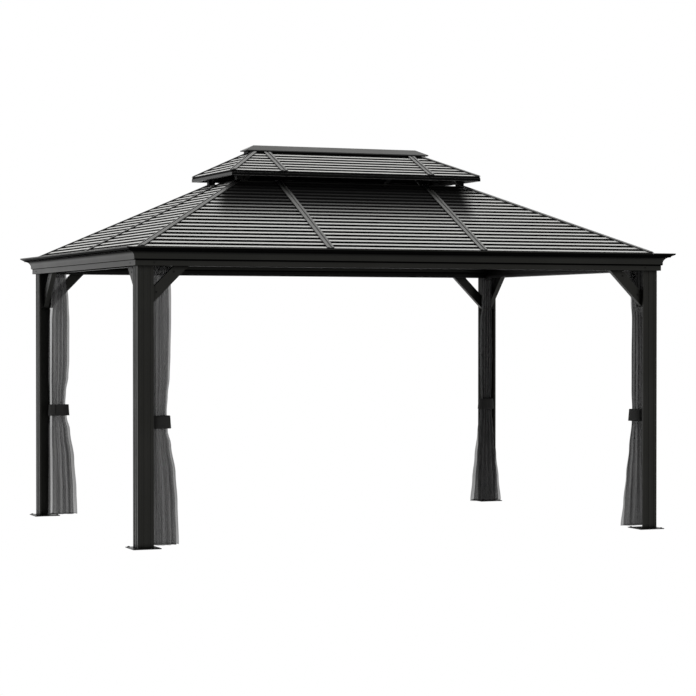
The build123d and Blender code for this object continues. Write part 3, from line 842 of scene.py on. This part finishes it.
def netWeave(s):
    # see-through net: closer in the pleats and where it turns away, closest along the sewn edges; the
    # pleats are also painted darker as shade
    tree, gin, gout = newGroup(
        "netWeave", {"Base": grey(0.03), "Fold Shade": grey(0.01), "Open": 0.4, "Turned": 0.0},
        ("Color", "Roughness", "Alpha"))
    cloth = clothUv(tree)
    place = splitVector(tree, cloth)
    pleats = noiseAt(tree, vectorMaths(tree, "MULTIPLY", cloth, s["stretch"]), 1.0)
    folded = mapRange(tree, pleats, s["pleatFrom"], s["pleatTo"])
    dense = maths(tree, "ADD", maths(tree, "MULTIPLY", folded, s["pleatDense"]), gin["Open"])
    turned = maths(tree, "POWER", gin["Turned"], s["turnPower"])
    dense = maths(tree, "ADD", dense, maths(tree, "MULTIPLY", turned, s["turnDense"]))
    tape = 0.0
    for kind, axis, edge in (("LESS_THAN", "Y", s["tapeLow"]), ("GREATER_THAN", "Y", s["tapeHigh"]),
                             ("LESS_THAN", "X", s["tapeSides"]), ("GREATER_THAN", "X", 1 - s["tapeSides"])):
        tape = maths(tree, "MAXIMUM", tape, maths(tree, kind, place[axis], edge))
    alpha = maths(tree, "MAXIMUM", dense, maths(tree, "MULTIPLY", tape, s["tapeDense"]))
    # the pleats are painted darker as shade
    shadeTone = mixColour(tree, folded, gin["Base"], gin["Fold Shade"])
    shadeTone = mixColour(tree, maths(tree, "MULTIPLY", tape, s["tapeDark"]), shadeTone, s["tape"])
    drift = noiseAt(tree, cloth, s["driftScale"])
    rough = maths(tree, "ADD", maths(tree, "MULTIPLY", drift, s["roughChange"]), s["rough"])
    feed(tree, gout["Color"], shadeTone)
    feed(tree, gout["Roughness"], rough)
    feed(tree, gout["Alpha"], maths(tree, "MINIMUM", alpha, 1.0))
    return tree


def netMaterial(name, s, group, shadeTone):
    mat, tree, shader = newMaterial(name)
    facing = tree.nodes.new("ShaderNodeLayerWeight")
    facing.inputs["Blend"].default_value = s["facing"]
    weave = useGroup(tree, group, {
        "Open": s["alpha"], "Base": grey(s["base"] * shadeTone), "Fold Shade": grey(s["fold"] * shadeTone),
        "Turned": facing.outputs["Facing"]})
    feed(tree, shader["Base Color"], weave["Color"])
    feed(tree, shader["Roughness"], weave["Roughness"])
    feed(tree, shader["Alpha"], weave["Alpha"])
    shader["Specular IOR Level"].default_value = s["specular"]
    shader["Sheen Weight"].default_value = s["sheen"]
    return mat


weaveGroup = netWeave(weaveSet)
for corner, shape in bundleShapes.items():
    curtain = curtainMesh("netting_" + corner, netSet, shape)
    curtain.data.materials.append(netMaterial("netting_" + corner, netSet, weaveGroup, shape["shadeTone"]))
    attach(curtain, "root")
    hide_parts("curtain_" + corner)


# tie bands: a flat strap round each bundle, its tail lapped over

strapSet = {
    "band": 0.088,
    "flare": 0.006,                 # lower edge stands off further than the upper
    "cloth": 0.0022,
    "tail": 0.07,
    "startTurn": math.radians(200),
    "points": 72,
    "rows": 8,
    "lap": 0.0028,                  # how far the tail stands off the band below it
    "lapBefore": 0.3,
    "slack": 0.0022,
    "slackScale": (2.2, 0.8),
    "square": 0.8,                  # 1 is an ellipse, less is nearer a rounded box
    "waveScale": 60.0,
    "waveBend": 0.6,
    "patchScale": 14.0,
    "dark": grey(0.010),
    "pale": (0.028, 0.028, 0.027, 1),
    "rough": (0.75, 0.95),
    "bump": 0.3,
    "bumpDeep": 0.0004,
    "specular": 0.15,
}

# middle across x and y, height, half width and half depth of each strap's loop
strapPlaces = {
    "front_left": (-1.826, -1.338, 0.860, 0.070, 0.052),
    "back_left": (-1.868, 1.288, 0.847, 0.080, 0.036),
    "front_right": (1.9555, -1.2575, 0.847, 0.062, 0.056),
    "back_right": (1.8885, 1.2575, 0.847, 0.062, 0.056),
}


def strapMesh(name, s, place):
    x, y, middle, reach, depth = place
    total = 2 * math.pi + s["tail"] / reach
    lines = []
    for k in range(s["rows"] + 1):
        v = k / s["rows"]
        z = middle + s["band"] * (0.5 - v)
        line = []
        for i in range(s["points"] + 1):
            turn = s["startTurn"] + total * i / s["points"]
            across, along = math.cos(turn), math.sin(turn)
            lapped = i / s["points"] * total > 2 * math.pi - s["lapBefore"]
            wide, tall = s["slackScale"]
            slack = s["slack"] * noise.noise(Vector((across * wide, along * wide, v * tall + x)))
            grow = s["flare"] * (v - 0.5) + (s["lap"] if lapped else 0.0) + slack
            line.append((x + (reach + grow) * math.copysign(abs(across) ** s["square"], across),
                         y + (depth + grow) * math.copysign(abs(along) ** s["square"], along), z))
        lines.append(line)
    ob = clothMesh(name, lines)
    thick = ob.modifiers.new("cloth", "SOLIDIFY")
    thick.thickness = s["cloth"]
    thick.offset = 1
    return ob


def strapMaterial(s):
    mat, tree, shader = newMaterial("strapCloth")
    cloth = clothUv(tree)
    wave = tree.nodes.new("ShaderNodeTexWave")
    wave.inputs["Scale"].default_value = s["waveScale"]
    wave.inputs["Distortion"].default_value = s["waveBend"]
    feed(tree, wave.inputs["Vector"], cloth)
    wave = wave.outputs["Fac"]
    patch = noiseAt(tree, cloth, s["patchScale"])
    feed(tree, shader["Base Color"], mixColour(tree, patch, s["dark"], s["pale"]))
    feed(tree, shader["Roughness"], mapRange(tree, wave, 0.0, 1.0, *s["rough"]))
    feed(tree, shader["Normal"], bumpNormal(tree, wave, s["bump"], s["bumpDeep"]))
    shader["Specular IOR Level"].default_value = s["specular"]
    return mat


strapFinish = strapMaterial(strapSet)
for corner, place in strapPlaces.items():
    strap = strapMesh("strap_" + corner, strapSet, place)
    strap.data.materials.append(strapFinish)
    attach(strap, "root")
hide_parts("curtain_ties")
print("tie bands wrapped")
